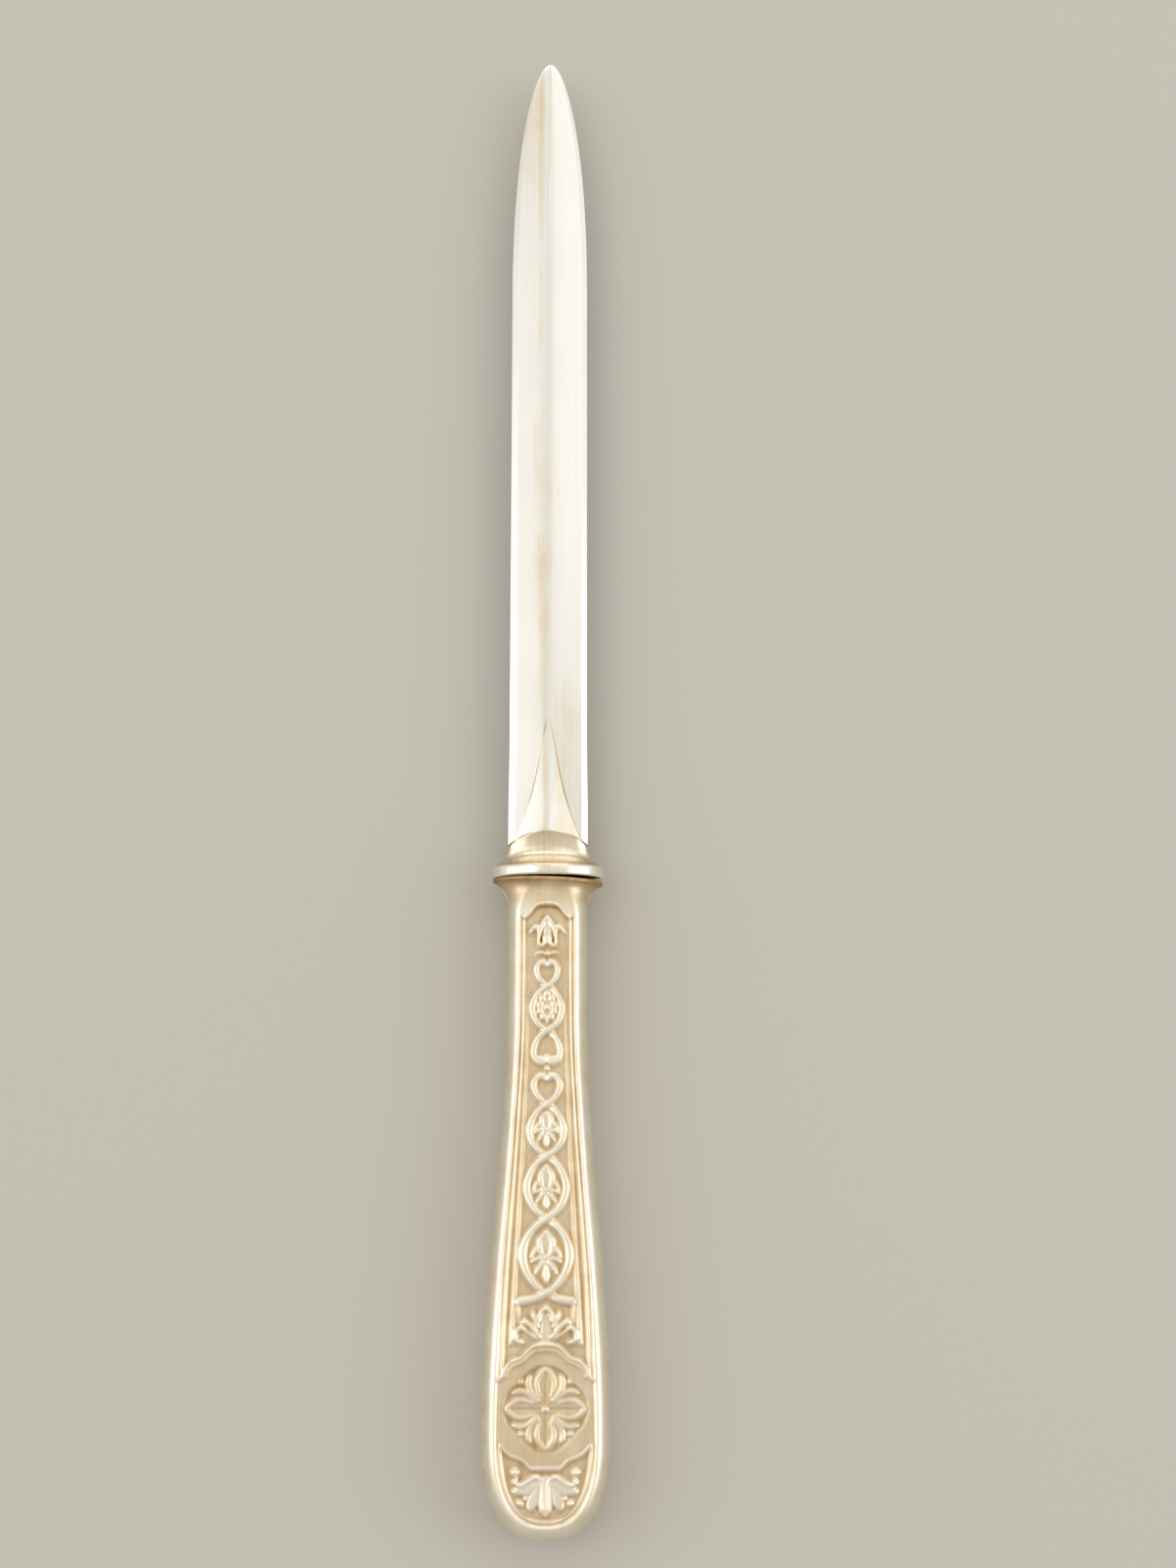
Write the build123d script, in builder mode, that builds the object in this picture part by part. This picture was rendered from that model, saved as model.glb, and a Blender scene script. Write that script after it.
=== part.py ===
from build123d import *
import os
from itertools import accumulate
from math import atan2, cos, degrees, radians, sin, sqrt

# A letter opener: a forged blade cemented into a hollow handle of two die-struck halves.
# Millimetres. The blade points along +Y, the struck front looks up, and the origin is on the
# surface that the opener lies on, below the middle of its length.

# Overall lengths, both measured from the mouth of the handle
handle_length = 83.5
blade_reach = 116.5

# Hollow handle: distances along it are measured from the mouth
waist_width = 10.4
waist_thickness = 7.3
swell_width = 16.3
swell_thickness = 9.3
swell_start = 17.5
swell_end = 69.5
butt_length = 13.0
wall = 0.5
shoulder_width = 1.3
shoulder_drop = 2.9

# Curves of the butt in plan and from the side: a higher power is a fuller curve
butt_plan_power = 2.6
butt_side_power = 8.0
butt_closing = 0.42

# Flared mouth under the flange, which has sprung open a little on its right side
flange_overhang = 0.2
flare_length = 5.2
flare_power = 3.5
lip_thickness = 0.4
mouth_gap = 0.45

# Seam and filling
solder_gap = 0.2
solder_bead = 0.4
cement_setback = 0.8

# Blade
blade_width = 10.3
blade_thickness = 1.6
edge_thickness = 0.5
bevel_width = 0.6
bevel_thickness = 0.9
tip_length = 34.3
tip_flat = 0.7
tip_power = 2.15
tip_closing = 0.56

# Bolster: a wedge that grows out of the blade, a cove and an oval flange
wedge_length = 17.5
wedge_height = 5.2
wedge_power = 1.35
cove_length = 4.0
cove_margin = 0.25
flange_width = 14.9
flange_length = 1.4
flange_round = 0.4

# Tang, notched to key it into the cement
tang_length = 46.0
tang_width = 5.0
tang_thickness = 3.4
tang_end_width = 3.2
tang_end_thickness = 2.2
notch_depth = 0.5
notch_length = 3.0
notch_spacing = 10.0
notch_count = 3

# Struck relief: how far it stands up, and its border moulding under an arched top
relief_height = 0.35
border_inset = 2.2
border_width = 0.7
arch_from_mouth = 3.6
arch_drop = 2.0
arch_hip_across, arch_hip_up = 0.7, 0.6

# Twisted strap of two strands; its bays, from the top heart down, are shares of its length
strap_width = 0.75
strap_reach = 0.37
strap_from_mouth = 11.3
strap_to_medallion = 13.1
strap_end_reach = 3.3
heart_lobe_rise, heart_widest_fall = 0.12, 0.2
top_heart, first_loop, turned_heart, bead_bay = 3.2, 5.7, 3.7, 2.0
lower_heart, second_loop, third_loop, fourth_loop, strap_end = 3.8, 6.6, 7.8, 9.2, 1.1

# Medallion: a raised plate with ogee ends, measured from its middle, and a barbed four-lobed recess
medallion_from_butt = 16.0
medallion_half_width = 5.9
crown_rise, crown_half_width, cusp_rise, ear_rise = 7.85, 2.9, 6.2, 3.7
foot_fall, step_half_width, step_fall, sole_half_width, sole_fall = 4.1, 3.3, 6.0, 2.0, 7.1
ear_bow, foot_bow = 0.35, 0.3
lobe_offset = 1.8
lobe_radius = 3.35
recess_barb = 3.4

# Leaves, each given as its spread from the spray's heading, its length and its width
lily_leaves = ((0, 4.0, 1.5), (72, 2.2, 0.8))
palmette_leaves = ((0, 4.1, 1.6), (35, 3.4, 1.2), (65, 3.3, 1.1))
rosette_leaves = ((0, 4.8, 1.9), (26, 3.6, 1.0))
tail_leaves = ((0, 4.9, 1.8), (35, 4.5, 1.4), (66, 4.2, 1.2))
sprig_side_leaf = (90, 1.25, 0.8)
sprig_share = 0.34
sprig_leaf_width = 1.1
lily_from_mouth = 9.4
palmette_above_medallion = 8.5
tail_below_medallion = 7.6

# Beads between the leaves: most places are measured from the middle of the medallion
bead_radius = 0.4
bead_above_strap = 1.0
rosette_bead = (2.9, 2.85)
volute_bead = (3.6, 8.9)
tail_bead = (3.2, -11.2)
tail_volute_bead = (3.9, -7.5)

# Places worked out from the sizes above
overall_length = handle_length + blade_reach
butt_y = -overall_length / 2
tip_y = overall_length / 2
mouth_y = butt_y + handle_length
waist_y = mouth_y - flare_length
butt_start_y = butt_y + butt_length
axis_height = swell_thickness / 2 + relief_height
flange_half_height = axis_height
mouth_width = flange_width - 2 * flange_overhang
mouth_thickness = 2 * (flange_half_height - flange_overhang)
mouth_tilt = degrees(atan2(mouth_gap, mouth_width))

# Stations of the lofts, as shares of each stretch
flare_stations = (0.0, 0.25, 0.5, 0.7, 0.85, 0.95, 1.0)
body_stations = (0.0, 0.125, 0.25, 0.375, 0.5, 0.625, 0.75, 0.875, 1.0)
butt_stations = (0.0, 0.2, 0.38, 0.54, 0.67, 0.77, 0.85, 0.91, 0.95, 0.975, 0.99)
tip_stations = (0.0, 0.15, 0.3, 0.45, 0.6, 0.73, 0.84, 0.92, 0.97)
wedge_stations = (0.02, 0.2, 0.4, 0.6, 0.8, 1.0)
cove_stations = (0.4, 0.65, 0.82, 0.93, 0.98)

os.makedirs("parts", exist_ok=True)


def cross_plane(y, tilt=0.0):
    """Plane square to the opener's length, its local y upwards, turned by tilt about the vertical."""
    turn = radians(tilt)
    return Plane(
        origin=(0, y, axis_height),
        x_dir=(cos(turn), -sin(turn), 0),
        z_dir=(-sin(turn), -cos(turn), 0),
    )


def handle_section(plane, half_width, half_height, corner_width, corner_height):
    """Four straight runs joined by elliptical corners: flat faces with rounded shoulders."""
    run_x = half_width - corner_width
    run_z = half_height - corner_height
    with BuildSketch(plane) as section:
        with BuildLine():
            Line((-run_x, half_height), (run_x, half_height))
            EllipticalCenterArc((run_x, run_z), corner_width, corner_height, 0, arc_size=90)
            Line((half_width, run_z), (half_width, -run_z))
            EllipticalCenterArc((run_x, -run_z), corner_width, corner_height, 270, arc_size=90)
            Line((run_x, -half_height), (-run_x, -half_height))
            EllipticalCenterArc((-run_x, -run_z), corner_width, corner_height, 180, arc_size=90)
            Line((-half_width, -run_z), (-half_width, run_z))
            EllipticalCenterArc((-run_x, run_z), corner_width, corner_height, 90, arc_size=90)
        make_face()
    return section.sketch


def body_sizes(y, inset):
    """Half-width, half-height and corner sizes between the flare and the butt, drawn in by inset."""
    share = (mouth_y - y - swell_start) / (swell_end - swell_start)
    share = min(max(share, 0.0), 1.0)
    grown = share * share * (3 - 2 * share)
    half_width = (waist_width + (swell_width - waist_width) * grown) / 2
    half_height = (waist_thickness + (swell_thickness - waist_thickness) * grown) / 2
    return half_width - inset, half_height - inset, shoulder_width - inset, shoulder_drop - inset


def flare_sizes(share, inset):
    """Sizes in the flare, where share runs from 0 at the waist to 1 at the oval lip."""
    roundness = 0.97
    half_width, half_height, corner_width, corner_height = body_sizes(waist_y, inset)
    half_width += (mouth_width / 2 - inset - half_width) * share**flare_power
    half_height += (mouth_thickness / 2 - inset - half_height) * share**flare_power
    corner_width += (roundness * half_width - corner_width) * share
    corner_height += (roundness * half_height - corner_height) * share
    return half_width, half_height, corner_width, corner_height


def butt_sizes(share, inset):
    """Sizes in the rounded butt, where share runs from 0 at its start to just under 1 at its end."""
    half_width, half_height, corner_width, corner_height = body_sizes(butt_start_y, inset)
    narrowing = (1 - share**butt_plan_power) ** butt_closing
    lowering = (1 - share**butt_side_power) ** butt_closing
    return (
        half_width * narrowing,
        half_height * lowering,
        corner_width * narrowing,
        corner_height * lowering,
    )


def handle_form(inset):
    """The handle as one closed solid, drawn in by inset all round but not at its mouth."""
    lip_y = mouth_y - mouth_gap / 2 - lip_thickness
    butt_end_y = butt_y + inset
    flare, body, butt = [], [], []
    for share in flare_stations:
        plane = cross_plane(waist_y + (lip_y - waist_y) * share, mouth_tilt * share)
        flare.append(handle_section(plane, *flare_sizes(share, inset)))
    for share in body_stations:
        y = waist_y + (butt_start_y - waist_y) * share
        body.append(handle_section(cross_plane(y), *body_sizes(y, inset)))
    for share in butt_stations:
        y = butt_start_y + (butt_end_y - butt_start_y) * share / butt_stations[-1]
        butt.append(handle_section(cross_plane(y), *butt_sizes(share, inset)))
    with BuildPart() as form:
        extrude(flare[-1], amount=-lip_thickness)
        loft(flare)
        loft(body)
        loft(butt)
    return form.part


def blade_section(y, half_width):
    """Ten-sided section of the blade: two broad facets a side, a narrow bevel and a blunt edge."""
    share = half_width / (blade_width / 2)
    edge = edge_thickness / 2
    bevel = edge + (bevel_thickness - edge_thickness) / 2 * share
    ridge = edge + (blade_thickness - edge_thickness) / 2 * share
    bevel_x = half_width - bevel_width * share
    upper = [(half_width, edge), (bevel_x, bevel), (0, ridge), (-bevel_x, bevel), (-half_width, edge)]
    lower = [(x, -z) for x, z in reversed(upper)]
    with BuildSketch(cross_plane(y)) as section:
        with BuildLine():
            Polyline(upper + lower, close=True)
        make_face()
    return section.sketch


def oval_section(y, half_width, half_height):
    """Elliptical section of the bolster."""
    with BuildSketch(cross_plane(y)) as section:
        Ellipse(half_width, half_height)
    return section.sketch


def tang_section(y, width, thickness):
    """Rectangular section of the tang."""
    with BuildSketch(cross_plane(y)) as section:
        Rectangle(width, thickness)
    return section.sketch


# Blade, bolster and tang, forged in one piece
flange_top_y = mouth_y + flange_length
cove_top_y = flange_top_y + cove_length
wedge_top_y = cove_top_y + wedge_length
tip_start_y = tip_y - tip_length
tip_end_share = (1 - (tip_flat / blade_width) ** (1 / tip_closing)) ** (1 / tip_power)

tip_sections = []
for share in tip_stations + (tip_end_share,):
    y = tip_start_y + tip_length * share / tip_end_share
    tip_sections.append(blade_section(y, blade_width / 2 * (1 - share**tip_power) ** tip_closing))

bolster_sections = []
for share in wedge_stations:
    growth = share**wedge_power
    half_height = (blade_thickness + (wedge_height - blade_thickness) * growth) / 2
    y = wedge_top_y - wedge_length * share
    bolster_sections.append(oval_section(y, blade_width / 2 * growth, half_height))
for share in cove_stations:
    swept = 1 - sqrt(1 - share**2)
    half_width = blade_width / 2 + (flange_width / 2 - cove_margin - blade_width / 2) * swept
    half_height = wedge_height / 2 + (flange_half_height - cove_margin - wedge_height / 2) * swept
    y = cove_top_y - cove_length * share / cove_stations[-1]
    bolster_sections.append(oval_section(y, half_width, half_height))

with BuildPart() as flange:
    with BuildSketch(cross_plane(flange_top_y)):
        Ellipse(flange_width / 2, flange_half_height)
    extrude(amount=flange_length)
    fillet(flange.edges().filter_by(GeomType.ELLIPSE), flange_round)

with BuildPart() as blade:
    loft([blade_section(cove_top_y, blade_width / 2), blade_section(tip_start_y, blade_width / 2)])
    loft(tip_sections)
    loft(bolster_sections)
    add(flange.part)
    loft(
        [
            tang_section(mouth_y, tang_width, tang_thickness),
            tang_section(mouth_y - tang_length, tang_end_width, tang_end_thickness),
        ]
    )
    for number in range(notch_count):
        along = tang_length - notch_spacing * (number + 0.5)
        half_width = (tang_width + (tang_end_width - tang_width) * along / tang_length) / 2
        with BuildSketch(Plane.XY.offset(axis_height)):
            with Locations((-half_width, mouth_y - along), (half_width, mouth_y - along)):
                Rectangle(2 * notch_depth, notch_length)
        extrude(amount=tang_thickness, both=True, mode=Mode.SUBTRACT)
blade.part.label = "blade"
export_step(blade.part, "parts/blade.step")

# Ornament of the struck faces, drawn in plan
medallion_y = butt_y + medallion_from_butt
strap_top_y = mouth_y - strap_from_mouth
strap_end_y = medallion_y + strap_to_medallion
bays = (
    top_heart,
    first_loop,
    turned_heart,
    bead_bay,
    lower_heart,
    second_loop,
    third_loop,
    fourth_loop,
    strap_end,
)
crossings = [strap_top_y]
for passed in accumulate(bays):
    crossings.append(strap_top_y + (strap_end_y - strap_top_y) * passed / sum(bays))


def panel_face(grow):
    """The sunken panel: it follows the handle's outline under an arched top, moved out by grow."""
    inset = border_inset - grow
    spring_y = mouth_y - arch_from_mouth - arch_drop
    side = []
    for share in body_stations:
        y = spring_y + (butt_start_y - spring_y) * share
        side.append((body_sizes(y, inset)[0], y))
    for share in butt_stations[1:-1]:
        y = butt_start_y + (butt_y + inset - butt_start_y) * share
        side.append((butt_sizes(share, inset)[0], y))
    mirrored = [(-x, y) for x, y in reversed(side)]
    corner_x = side[0][0]
    hip_x, hip_y = arch_hip_across * corner_x, spring_y + arch_hip_up * arch_drop + grow
    crown_y = spring_y + arch_drop + grow
    with BuildSketch() as panel:
        with BuildLine():
            Spline(side + [(0, butt_y + inset)] + mirrored)
            Spline(mirrored[-1], (-hip_x, hip_y), (0, crown_y), (hip_x, hip_y), side[0])
        make_face()
    return panel.sketch


def swing(side, upper_y, lower_y):
    """Widest point of a strand between two crossings."""
    y = (upper_y + lower_y) / 2
    return side * strap_reach * body_sizes(y, 0)[0], y


def heart(side, cusp_y, crossing_y):
    """Points of half a heart, from its cusp over its lobe to the crossing at its point."""
    fall = crossing_y - cusp_y
    reach = strap_reach * body_sizes(cusp_y, 0)[0]
    lobe = (side * reach / 2, cusp_y - heart_lobe_rise * fall)
    widest = (side * reach, cusp_y + heart_widest_fall * fall)
    return [(0, cusp_y), lobe, widest, (0, crossing_y)]


def strands(side):
    """Middle lines of the strand that starts on one side: the upper twist, then the lower one."""
    upper = heart(side, crossings[0], crossings[1])
    upper += [swing(-side, crossings[1], crossings[2])]
    upper += heart(side, crossings[3], crossings[2])[::-1]
    lower = heart(side, crossings[4], crossings[5])
    for number in (5, 6, 7):
        side = -side
        lower += [swing(side, crossings[number], crossings[number + 1]), (0, crossings[number + 1])]
    lower += [(-side * strap_end_reach, crossings[9])]
    return upper, lower


def leaf(base_y, angle, length, width):
    """Pointed leaf: two arcs from its base on the centre line to its tip, at angle from +X."""
    along = Vector(cos(radians(angle)), sin(radians(angle)))
    across = Vector(-along.Y, along.X) * (width / 2)
    base = Vector(0, base_y)
    with BuildSketch() as outline:
        with BuildLine():
            ThreePointArc(base, base + along * (length / 2) + across, base + along * length)
            ThreePointArc(base + along * length, base + along * (length / 2) - across, base)
        make_face()
    return outline.sketch


def spray(base_y, heading, blades):
    """Leaves that fan out from one base, those off the heading in pairs."""
    with BuildSketch() as fan:
        for spread, length, width in blades:
            for angle in {heading + spread, heading - spread}:
                add(leaf(base_y, angle, length, width))
    return fan.sketch


with BuildSketch() as straps:
    for side in (-1, 1):
        for points in strands(side):
            with BuildLine() as middle_line:
                Spline(points)
            trace(middle_line.line, line_width=strap_width)

with BuildSketch() as border:
    add(panel_face(border_width / 2))
    add(panel_face(-border_width / 2), mode=Mode.SUBTRACT)

with BuildSketch(Plane((0, medallion_y, 0))) as medallion:
    with BuildLine():
        crown = TangentArc((0, crown_rise), (crown_half_width, cusp_rise), tangent=(1, 0))
        ear = SagittaArc(crown @ 1, (medallion_half_width, ear_rise), ear_bow)
        side_line = Line(ear @ 1, (medallion_half_width, -foot_fall))
        foot = SagittaArc(side_line @ 1, (step_half_width, -step_fall), foot_bow)
        Polyline(foot @ 1, (sole_half_width, -sole_fall), (0, -sole_fall))
        mirror(about=Plane.YZ)
    make_face()
    Rectangle(2 * recess_barb, 2 * recess_barb, mode=Mode.SUBTRACT)
    with PolarLocations(lobe_offset, 4):
        Circle(lobe_radius, mode=Mode.SUBTRACT)

with BuildSketch() as leaves:
    add(spray(mouth_y - lily_from_mouth, 90, lily_leaves))
    add(spray(medallion_y + palmette_above_medallion, 90, palmette_leaves))
    add(spray(medallion_y - tail_below_medallion, -90, tail_leaves))
    for heading in (0, 90, 180, 270):
        add(spray(medallion_y, heading, rosette_leaves))
    for number in (1, 5, 6, 7):
        upper_y, lower_y = crossings[number], crossings[number + 1]
        long_leaf = (0, sprig_share * (upper_y - lower_y), sprig_leaf_width)
        for heading in (90, -90):
            add(spray((upper_y + lower_y) / 2, heading, (long_leaf, sprig_side_leaf)))

with BuildSketch() as beads:
    for y in (strap_top_y + bead_above_strap, (crossings[3] + crossings[4]) / 2, medallion_y):
        with Locations((0, y)):
            Circle(bead_radius)
    lower_rosette_bead = (rosette_bead[0], -rosette_bead[1])
    for x, y in (rosette_bead, lower_rosette_bead, volute_bead, tail_bead, tail_volute_bead):
        with Locations((x, medallion_y + y), (-x, medallion_y + y)):
            Circle(bead_radius)

with BuildSketch() as ornament:
    for figures in (straps, border, leaves, beads):
        add(figures.sketch)

# Front and back halves, struck alike: the ornament stands up from the form, and the inside is hollow
seam_top = Plane.XY.offset(axis_height + solder_gap / 2)
outer = handle_form(0.0)
inner = handle_form(wall)

with BuildPart() as relief:
    extrude(ornament.sketch, amount=2 * axis_height)
    add(handle_form(-relief_height), mode=Mode.INTERSECT)
    extrude(medallion.sketch, amount=2 * axis_height)
    split(bisect_by=seam_top, keep=Keep.TOP)

with BuildPart() as handle_front:
    add(outer)
    split(bisect_by=seam_top, keep=Keep.TOP)
    add(relief.part)
    add(inner, mode=Mode.SUBTRACT)
handle_front.part.label = "handle_front"
export_step(handle_front.part, "parts/handle_front.step")

with BuildPart() as handle_back:
    add(mirror(handle_front.part, about=Plane.XY.offset(axis_height), mode=Mode.PRIVATE))
handle_back.part.label = "handle_back"
export_step(handle_back.part, "parts/handle_back.step")

# Solder: it fills the seam down both sides and round the butt, with a bead along the inside
with BuildPart() as seam_solder:
    add(outer)
    add(handle_form(wall + solder_bead), mode=Mode.SUBTRACT)
    with BuildSketch(Plane.XY.offset(axis_height - solder_gap / 2)):
        with Locations((0, (mouth_y + butt_y) / 2)):
            Rectangle(2 * swell_width, 2 * handle_length)
    extrude(amount=solder_gap, mode=Mode.INTERSECT)
seam_solder.part.label = "seam_solder"
export_step(seam_solder.part, "parts/seam_solder.step")

# Cement: it fills the handle round the tang, up to just inside the mouth
with BuildPart() as cement_core:
    add(inner)
    split(bisect_by=Plane.XZ.offset(-(mouth_y - mouth_gap - cement_setback)), keep=Keep.TOP)
    add(seam_solder.part, mode=Mode.SUBTRACT)
    add(blade.part, mode=Mode.SUBTRACT)
cement_core.part.label = "cement_core"
export_step(cement_core.part, "parts/cement_core.step")
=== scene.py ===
# %% [markdown]
# # A hollow-handled letter opener
# The construction model already has the five pieces and their sizes. This scene gives the three
# pieces that show, the blade and the two struck halves of the handle, their finished surfaces,
# and then the metals, the light and the camera. Each surface is a formula worked out on a whole
# grid of points at once, in millimetres, and turned into a mesh in metres at the end.

# %% Setup
import math

import bpy
import numpy as np
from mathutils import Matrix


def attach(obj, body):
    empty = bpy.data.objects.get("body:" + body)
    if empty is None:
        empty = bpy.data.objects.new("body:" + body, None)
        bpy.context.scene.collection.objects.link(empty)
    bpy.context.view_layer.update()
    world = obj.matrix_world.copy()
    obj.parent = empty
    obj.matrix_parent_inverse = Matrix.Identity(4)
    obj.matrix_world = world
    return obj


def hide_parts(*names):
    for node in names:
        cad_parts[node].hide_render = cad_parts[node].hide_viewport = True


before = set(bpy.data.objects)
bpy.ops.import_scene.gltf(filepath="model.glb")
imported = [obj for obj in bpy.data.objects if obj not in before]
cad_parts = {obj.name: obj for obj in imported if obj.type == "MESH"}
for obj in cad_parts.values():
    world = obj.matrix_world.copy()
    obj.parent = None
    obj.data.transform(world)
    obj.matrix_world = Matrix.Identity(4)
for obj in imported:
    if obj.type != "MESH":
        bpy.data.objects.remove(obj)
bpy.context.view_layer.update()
MM = 0.001
print("pieces in the frame:", sorted(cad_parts))

# %% [markdown]
# ## Two small tools
# A smooth step eases from 0 to 1, and a curve runs through a few chosen points the way a bent
# spline runs through pins on a drawing board. Extra columns of a point, such as the width and
# the height of a raised band, are carried along by the same curve. Blender's own curve objects
# could draw these lines too, but arrays of points can be measured against a whole grid at once.

# %% Curves
def ease(share):
    """Smooth step: 3 s squared less 2 s cubed, held at 0 below 0 and at 1 above 1."""
    share = np.clip(share, 0.0, 1.0)
    return share * share * (3 - 2 * share)


def curve(points, step=0.1):
    """Points about every step millimetres on a smooth curve through pins: the cubic span between two
    pins leaves each pin in the direction from the pin before it to the pin after it."""
    pins = np.array(points, float)
    before_first = 2 * pins[0] - pins[1]
    after_last = 2 * pins[-1] - pins[-2]
    pins = np.vstack([before_first, pins, after_last])
    length = np.hypot(*np.diff(pins[1:-1, :2], axis=0).T).sum()
    position = np.linspace(0, len(pins) - 3, max(4, int(length / step)))
    span = np.minimum(position.astype(int), len(pins) - 4)
    s = (position - span)[:, None]
    a, b, c, d = (pins[span + k] for k in range(4))
    return 0.5 * (2 * b + (c - a) * s + (2 * a - 5 * b + 4 * c - d) * s**2 + (3 * b - 3 * c + d - a) * s**3)


print("a quarter of the way, the smooth step is at", float(ease(0.25)))

# %% [markdown]
# ## From rings to a mesh
# Both the blade and the handle halves are closed skins: rings of points, one behind the other,
# joined by four-sided faces, with one face to close each end. Loop cuts and extrusions could build
# them by hand; rings from a formula keep every size exact. Smooth shading hides the small faces,
# and edges that turn by more than a set angle stay crisp.

# %% Ring mesh
def ring_mesh(name, rings, crisp):
    """Mesh of a row of closed rings, an array of rows, points and coordinates in millimetres. Point k
    of a ring is joined to point k + 1 and to the same two points of the next ring."""
    rows, around = rings.shape[:2]
    index = np.arange(rows * around).reshape(rows, around)
    beside = np.roll(index, -1, axis=1)
    quads = np.stack([index[:-1], beside[:-1], beside[1:], index[1:]], axis=-1).reshape(-1, 4)
    corners = np.concatenate([quads.ravel(), index[0][::-1], index[-1]])
    starts = np.append(np.arange(0, quads.size + 1, 4), quads.size + around)
    mesh = bpy.data.meshes.new(name)
    mesh.vertices.add(index.size)
    mesh.vertices.foreach_set("co", (rings * MM).astype(np.float32).ravel())
    mesh.loops.add(len(corners))
    mesh.loops.foreach_set("vertex_index", corners.astype(np.int32))
    mesh.polygons.add(len(starts))
    mesh.polygons.foreach_set("loop_start", starts.astype(np.int32))
    mesh.update(calc_edges=True)
    mesh.shade_smooth()
    mesh.set_sharp_from_angle(angle=math.radians(crisp))
    piece = bpy.data.objects.new(name, mesh)
    bpy.context.scene.collection.objects.link(piece)
    print(name, "has", len(quads), "faces")
    return piece


print("helper: ring_mesh")

# %% [markdown]
# ## The handle's form
# The hollow handle is slim behind the bolster, swells towards its rounded butt and flares into a
# thin lip under the flange. A few outlines joined by hand could give the same form; here its size
# along the length is a set of smooth steps and powers, so a whole row of stations is worked out in
# one go. The lip is turned a little, because on this old piece the joint has sprung open on the
# right.

# %% Handle sizes
# Places along the opener, half-widths and half-heights, in millimetres.
MOUTH, WAIST, LIP, BUTT_START, BUTT = -16.5, -21.7, -17.125, -87.0, -100.0
SLIM_WIDTH, FULL_WIDTH, LIP_WIDTH = 5.2, 8.15, 7.25
SLIM_HEIGHT, FULL_HEIGHT, LIP_HEIGHT = 3.65, 4.65, 4.8
SWELL_START, SWELL_LENGTH = 17.5, 52.0
# Powers of the flare, of the butt in plan and from the side, and of its rounding.
FLARE_POWER, PLAN_POWER, SIDE_POWER, ROUNDING = 5, 2.6, 10, 0.42
print("handle length:", MOUTH - BUTT, "mm")

# %% Stations along the handle
lip_share = np.array([1.087, 1.075, 1.05, 1.01])
flare_share = np.concatenate([lip_share, np.linspace(1.0, 0.0, 42)[:-1]])
lip_pull = np.concatenate([[0.16, 0.04], np.zeros(len(flare_share) - 2)])
body_y = np.linspace(WAIST, BUTT_START, 492)[:-1]
butt_share = np.linspace(0, 0.84, 78)
butt_share = np.append(butt_share, 0.84 + 0.16 * np.sin(np.linspace(0, 1.5703, 36))[1:])


def swell(y):
    """How full the handle is: 0 near the waist, eased to 1 over the swell towards the butt."""
    return ease((MOUTH - y - SWELL_START) / SWELL_LENGTH)


def handle_rows(inset):
    """Place, half-width, half-height, closing factor and flare of every row, drawn in by inset. Sizes
    go from slim to full with the swell, and to the lip's by a power of the flare; at the butt they
    close like a rounded rectangle, as 1 less the share to a power, to the power of the rounding."""
    flare_y = WAIST + (LIP - WAIST) * flare_share
    butt_y = BUTT_START + (BUTT + inset - BUTT_START) * butt_share
    y = np.concatenate([flare_y, body_y, butt_y])
    flare = np.zeros(len(y))
    flare[: len(flare_share)] = np.minimum(flare_share, 1.0)
    closing = np.zeros(len(y))
    closing[-len(butt_share) :] = butt_share
    width = SLIM_WIDTH + (FULL_WIDTH - SLIM_WIDTH) * swell(y)
    height = SLIM_HEIGHT + (FULL_HEIGHT - SLIM_HEIGHT) * swell(y)
    width = width + (LIP_WIDTH - width) * flare**FLARE_POWER - inset
    height = height + (LIP_HEIGHT - height) * flare**FLARE_POWER - inset
    width[: len(lip_pull)] -= lip_pull
    height[: len(lip_pull)] -= lip_pull
    width = width * (1 - closing**PLAN_POWER) ** ROUNDING
    return y, width, height, (1 - closing**SIDE_POWER) ** ROUNDING, flare


row_y, row_width, row_height, _, row_flare = handle_rows(0.0)
print("handle rows:", len(row_y))

# %% [markdown]
# ## The drawing grid
# A drop hammer struck the pattern into the sheet, so the relief is a height added to the plain
# face. It is drawn on the same grid that becomes the mesh: the columns cross the face and its two
# rounded shoulders, the rows follow the handle. A displacement from a painted picture could raise
# it too, but formulas stay sharp from close by and keep the real sizes. A fine bead runs round the
# panel, so one column on each side is laid along it; a line that wandered between the columns
# would look broken.

# %% Bead line
BUTT_BEAD_WIDTH, BUTT_BEAD_LENGTH = 5.75, 10.6
side_y = np.linspace(-21.0, BUTT_START, 60)
side_inset = np.interp(-side_y, [22, 30, 47, 66, 78, 87], [2.2, 2.2, 2.05, 2.25, 2.5, 2.4])
side_bead = SLIM_WIDTH + (FULL_WIDTH - SLIM_WIDTH) * swell(side_y) - side_inset
round_share = np.sin(np.linspace(0, np.pi / 2, 60))[1:]
bead_x = np.append(side_bead, BUTT_BEAD_WIDTH * (1 - round_share**PLAN_POWER) ** ROUNDING)
bead_y = np.append(side_y, BUTT_START - BUTT_BEAD_LENGTH * round_share)
print("bead line:", len(bead_x), "points on each side")

# %% Relief grid
SHOULDER = 1.65
COLUMNS = 104
BEAD_COLUMN = 7
LIP_TURN = math.tan(math.radians(1.78))

corner_share = 1 - (1 - np.linspace(0, 1, 15)[1:]) ** 2
corner_width = SHOULDER + (0.94 * row_width - SHOULDER) * row_flare**2.5
corner_width = np.minimum(corner_width, np.where(row_flare > 0, 0.94, 0.5) * row_width)
flat_half = row_width - corner_width
corner_x = flat_half[:, None] + corner_width[:, None] * corner_share

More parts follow.
